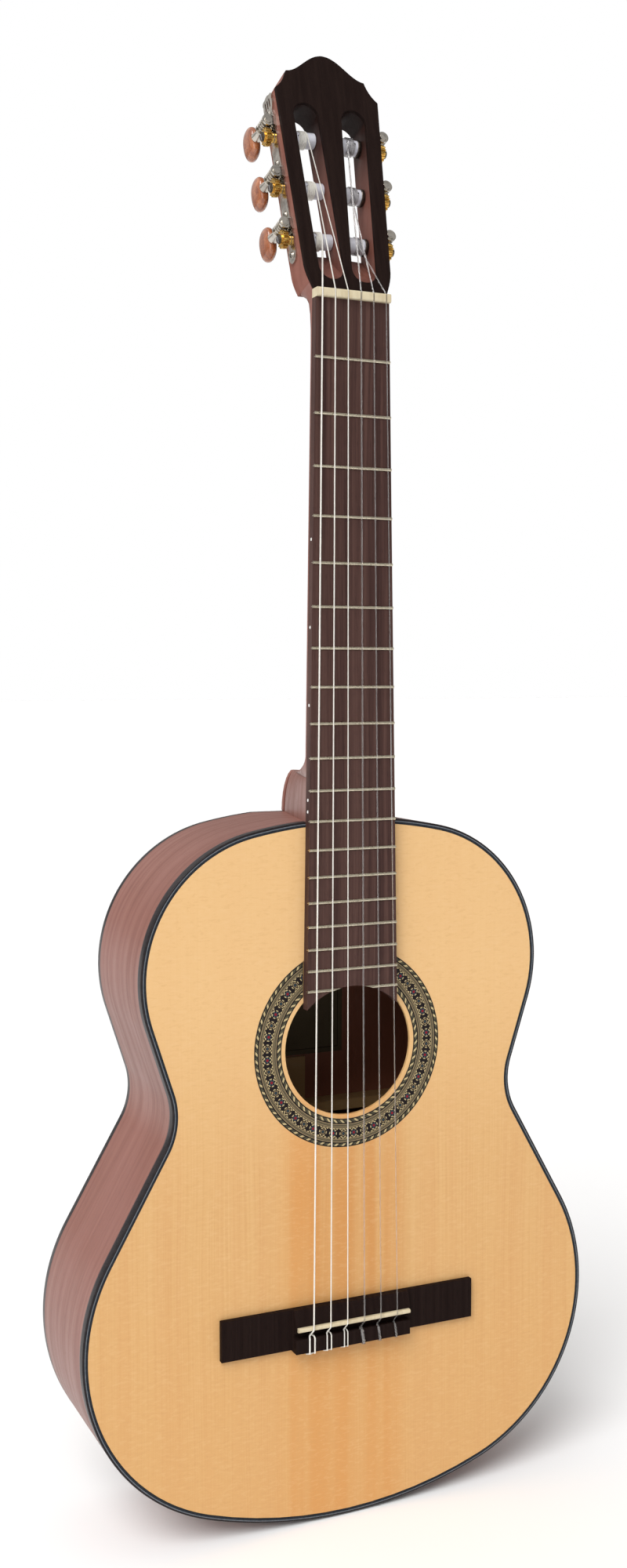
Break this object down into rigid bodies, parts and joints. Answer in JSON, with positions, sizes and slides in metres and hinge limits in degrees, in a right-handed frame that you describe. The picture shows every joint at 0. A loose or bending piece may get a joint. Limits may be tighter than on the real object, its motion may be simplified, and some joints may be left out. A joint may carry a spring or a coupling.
{
  "type": "classical guitar",
  "caption": "Nylon-string classical guitar: waisted hollow body, slotted head with worm-geared tuners, tied bridge and mosaic rosette.",
  "frame": {"origin": "on the centre line at the nut's front edge, in the plane of the soundboard's face", "axes": "+Z along the neck towards the head, -Y out of the soundboard, +X to the treble side"},
  "size_m": [0.358, 0.1081, 0.9464],
  "materials": {
    "spruce": "satin, straight fine grain",
    "mahogany": "satin, open-pored reddish brown",
    "rosewood": "oiled dark purplish brown",
    "dark_wood": "satin, nearly black",
    "brace_wood": "raw sanded softwood",
    "binding": "black, slight sheen",
    "purfling": "thin black and grey-blue lines",
    "rosette": "mosaic of small coloured tiles",
    "bone": "polished cream",
    "fret_metal": "polished pale alloy",
    "pearl_dot": "small white dots",
    "paper": "plain uncoated paper, blank",
    "nickel": "nickel plated, lightly tarnished",
    "brass": "polished",
    "roller_plastic": "pale grey-white",
    "button_plastic": "amber brown with a wood-like grain",
    "string_wound": "silver-plated winding",
    "string_plain": "clear nylon"
  },
  "bodies": {
    "root": {"soundboard": "spruce", "back_plate": "mahogany", "bass_side": "mahogany", "treble_side": "mahogany", "top_binding": "binding", "top_purfling": "purfling", "back_binding": "binding", "rosette": "rosette", "neck": "mahogany", "heel_cap": "mahogany", "headstock": "mahogany", "head_veneer": "dark_wood", "fretboard": "rosewood", "frets": "fret_metal", "side_dots": "pearl_dot", "nut": "bone", "bridge": "dark_wood", "saddle": "bone", "neck_block": "mahogany", "tail_block": "mahogany", "linings": "brace_wood", "fan_braces": "brace_wood", "harmonic_bars": "brace_wood", "bridge_patch": "brace_wood", "back_braces": "brace_wood", "back_centre_strip": "brace_wood", "paper_label": "paper", "tuner_plate_bass": "nickel", "tuner_plate_treble": "nickel", "plate_screws": "nickel", "string_1": "string_plain", "string_2": "string_plain", "string_3": "string_plain", "string_4": "string_wound", "string_5": "string_wound", "string_6": "string_wound"},
    "tuner_1": {"worm_1": "nickel", "button_1": "button_plastic"},
    "drum_1": {"roller_1": "roller_plastic", "gear_1": "brass"},
    "tuner_2": {"worm_2": "nickel", "button_2": "button_plastic"},
    "drum_2": {"roller_2": "roller_plastic", "gear_2": "brass"},
    "tuner_3": {"worm_3": "nickel", "button_3": "button_plastic"},
    "drum_3": {"roller_3": "roller_plastic", "gear_3": "brass"},
    "tuner_4": {"worm_4": "nickel", "button_4": "button_plastic"},
    "drum_4": {"roller_4": "roller_plastic", "gear_4": "brass"},
    "tuner_5": {"worm_5": "nickel", "button_5": "button_plastic"},
    "drum_5": {"roller_5": "roller_plastic", "gear_5": "brass"},
    "tuner_6": {"worm_6": "nickel", "button_6": "button_plastic"},
    "drum_6": {"roller_6": "roller_plastic", "gear_6": "brass"}
  },
  "joints": [
    {"name": "tuner_1_turn", "type": "hinge", "parent": "root", "child": "tuner_1", "pos_m": [0.03693, 0.02089, 0.04717], "axis": [0, -0.9659, 0.2588], "range_deg": [-810, 810]},
    {"name": "drum_1_turn", "type": "hinge", "parent": "root", "child": "drum_1", "pos_m": [0.031, 0.01877, 0.03924], "axis": [0.9987, -0.0133, -0.0495], "range_deg": [-62, 62]},
    {"name": "tuner_2_turn", "type": "hinge", "parent": "root", "child": "tuner_2", "pos_m": [0.03872, 0.02994, 0.08093], "axis": [0, -0.9659, 0.2588], "range_deg": [-810, 810]},
    {"name": "drum_2_turn", "type": "hinge", "parent": "root", "child": "drum_2", "pos_m": [0.03279, 0.02781, 0.073], "axis": [0.9987, -0.0133, -0.0495], "range_deg": [-62, 62]},
    {"name": "tuner_3_turn", "type": "hinge", "parent": "root", "child": "tuner_3", "pos_m": [0.04051, 0.03898, 0.11469], "axis": [0, -0.9659, 0.2588], "range_deg": [-810, 810]},
    {"name": "drum_3_turn", "type": "hinge", "parent": "root", "child": "drum_3", "pos_m": [0.03458, 0.03686, 0.10677], "axis": [0.9987, -0.0133, -0.0495], "range_deg": [-62, 62]},
    {"name": "tuner_4_turn", "type": "hinge", "parent": "root", "child": "tuner_4", "pos_m": [-0.04051, 0.03898, 0.11469], "axis": [0, -0.9659, 0.2588], "range_deg": [-810, 810]},
    {"name": "drum_4_turn", "type": "hinge", "parent": "root", "child": "drum_4", "pos_m": [-0.03458, 0.03686, 0.10677], "axis": [-0.9987, -0.0133, -0.0495], "range_deg": [-62, 62]},
    {"name": "tuner_5_turn", "type": "hinge", "parent": "root", "child": "tuner_5", "pos_m": [-0.03872, 0.02994, 0.08093], "axis": [0, -0.9659, 0.2588], "range_deg": [-810, 810]},
    {"name": "drum_5_turn", "type": "hinge", "parent": "root", "child": "drum_5", "pos_m": [-0.03279, 0.02781, 0.073], "axis": [-0.9987, -0.0133, -0.0495], "range_deg": [-62, 62]},
    {"name": "tuner_6_turn", "type": "hinge", "parent": "root", "child": "tuner_6", "pos_m": [-0.03693, 0.02089, 0.04717], "axis": [0, -0.9659, 0.2588], "range_deg": [-810, 810]},
    {"name": "drum_6_turn", "type": "hinge", "parent": "root", "child": "drum_6", "pos_m": [-0.031, 0.01877, 0.03924], "axis": [-0.9987, -0.0133, -0.0495], "range_deg": [-62, 62]}
  ],
  "couplings": [
    {"joint": "drum_1_turn", "follows": "tuner_1_turn", "ratio": -0.071429},
    {"joint": "drum_2_turn", "follows": "tuner_2_turn", "ratio": -0.071429},
    {"joint": "drum_3_turn", "follows": "tuner_3_turn", "ratio": -0.071429},
    {"joint": "drum_4_turn", "follows": "tuner_4_turn", "ratio": -0.071429},
    {"joint": "drum_5_turn", "follows": "tuner_5_turn", "ratio": -0.071429},
    {"joint": "drum_6_turn", "follows": "tuner_6_turn", "ratio": -0.071429}
  ]
}
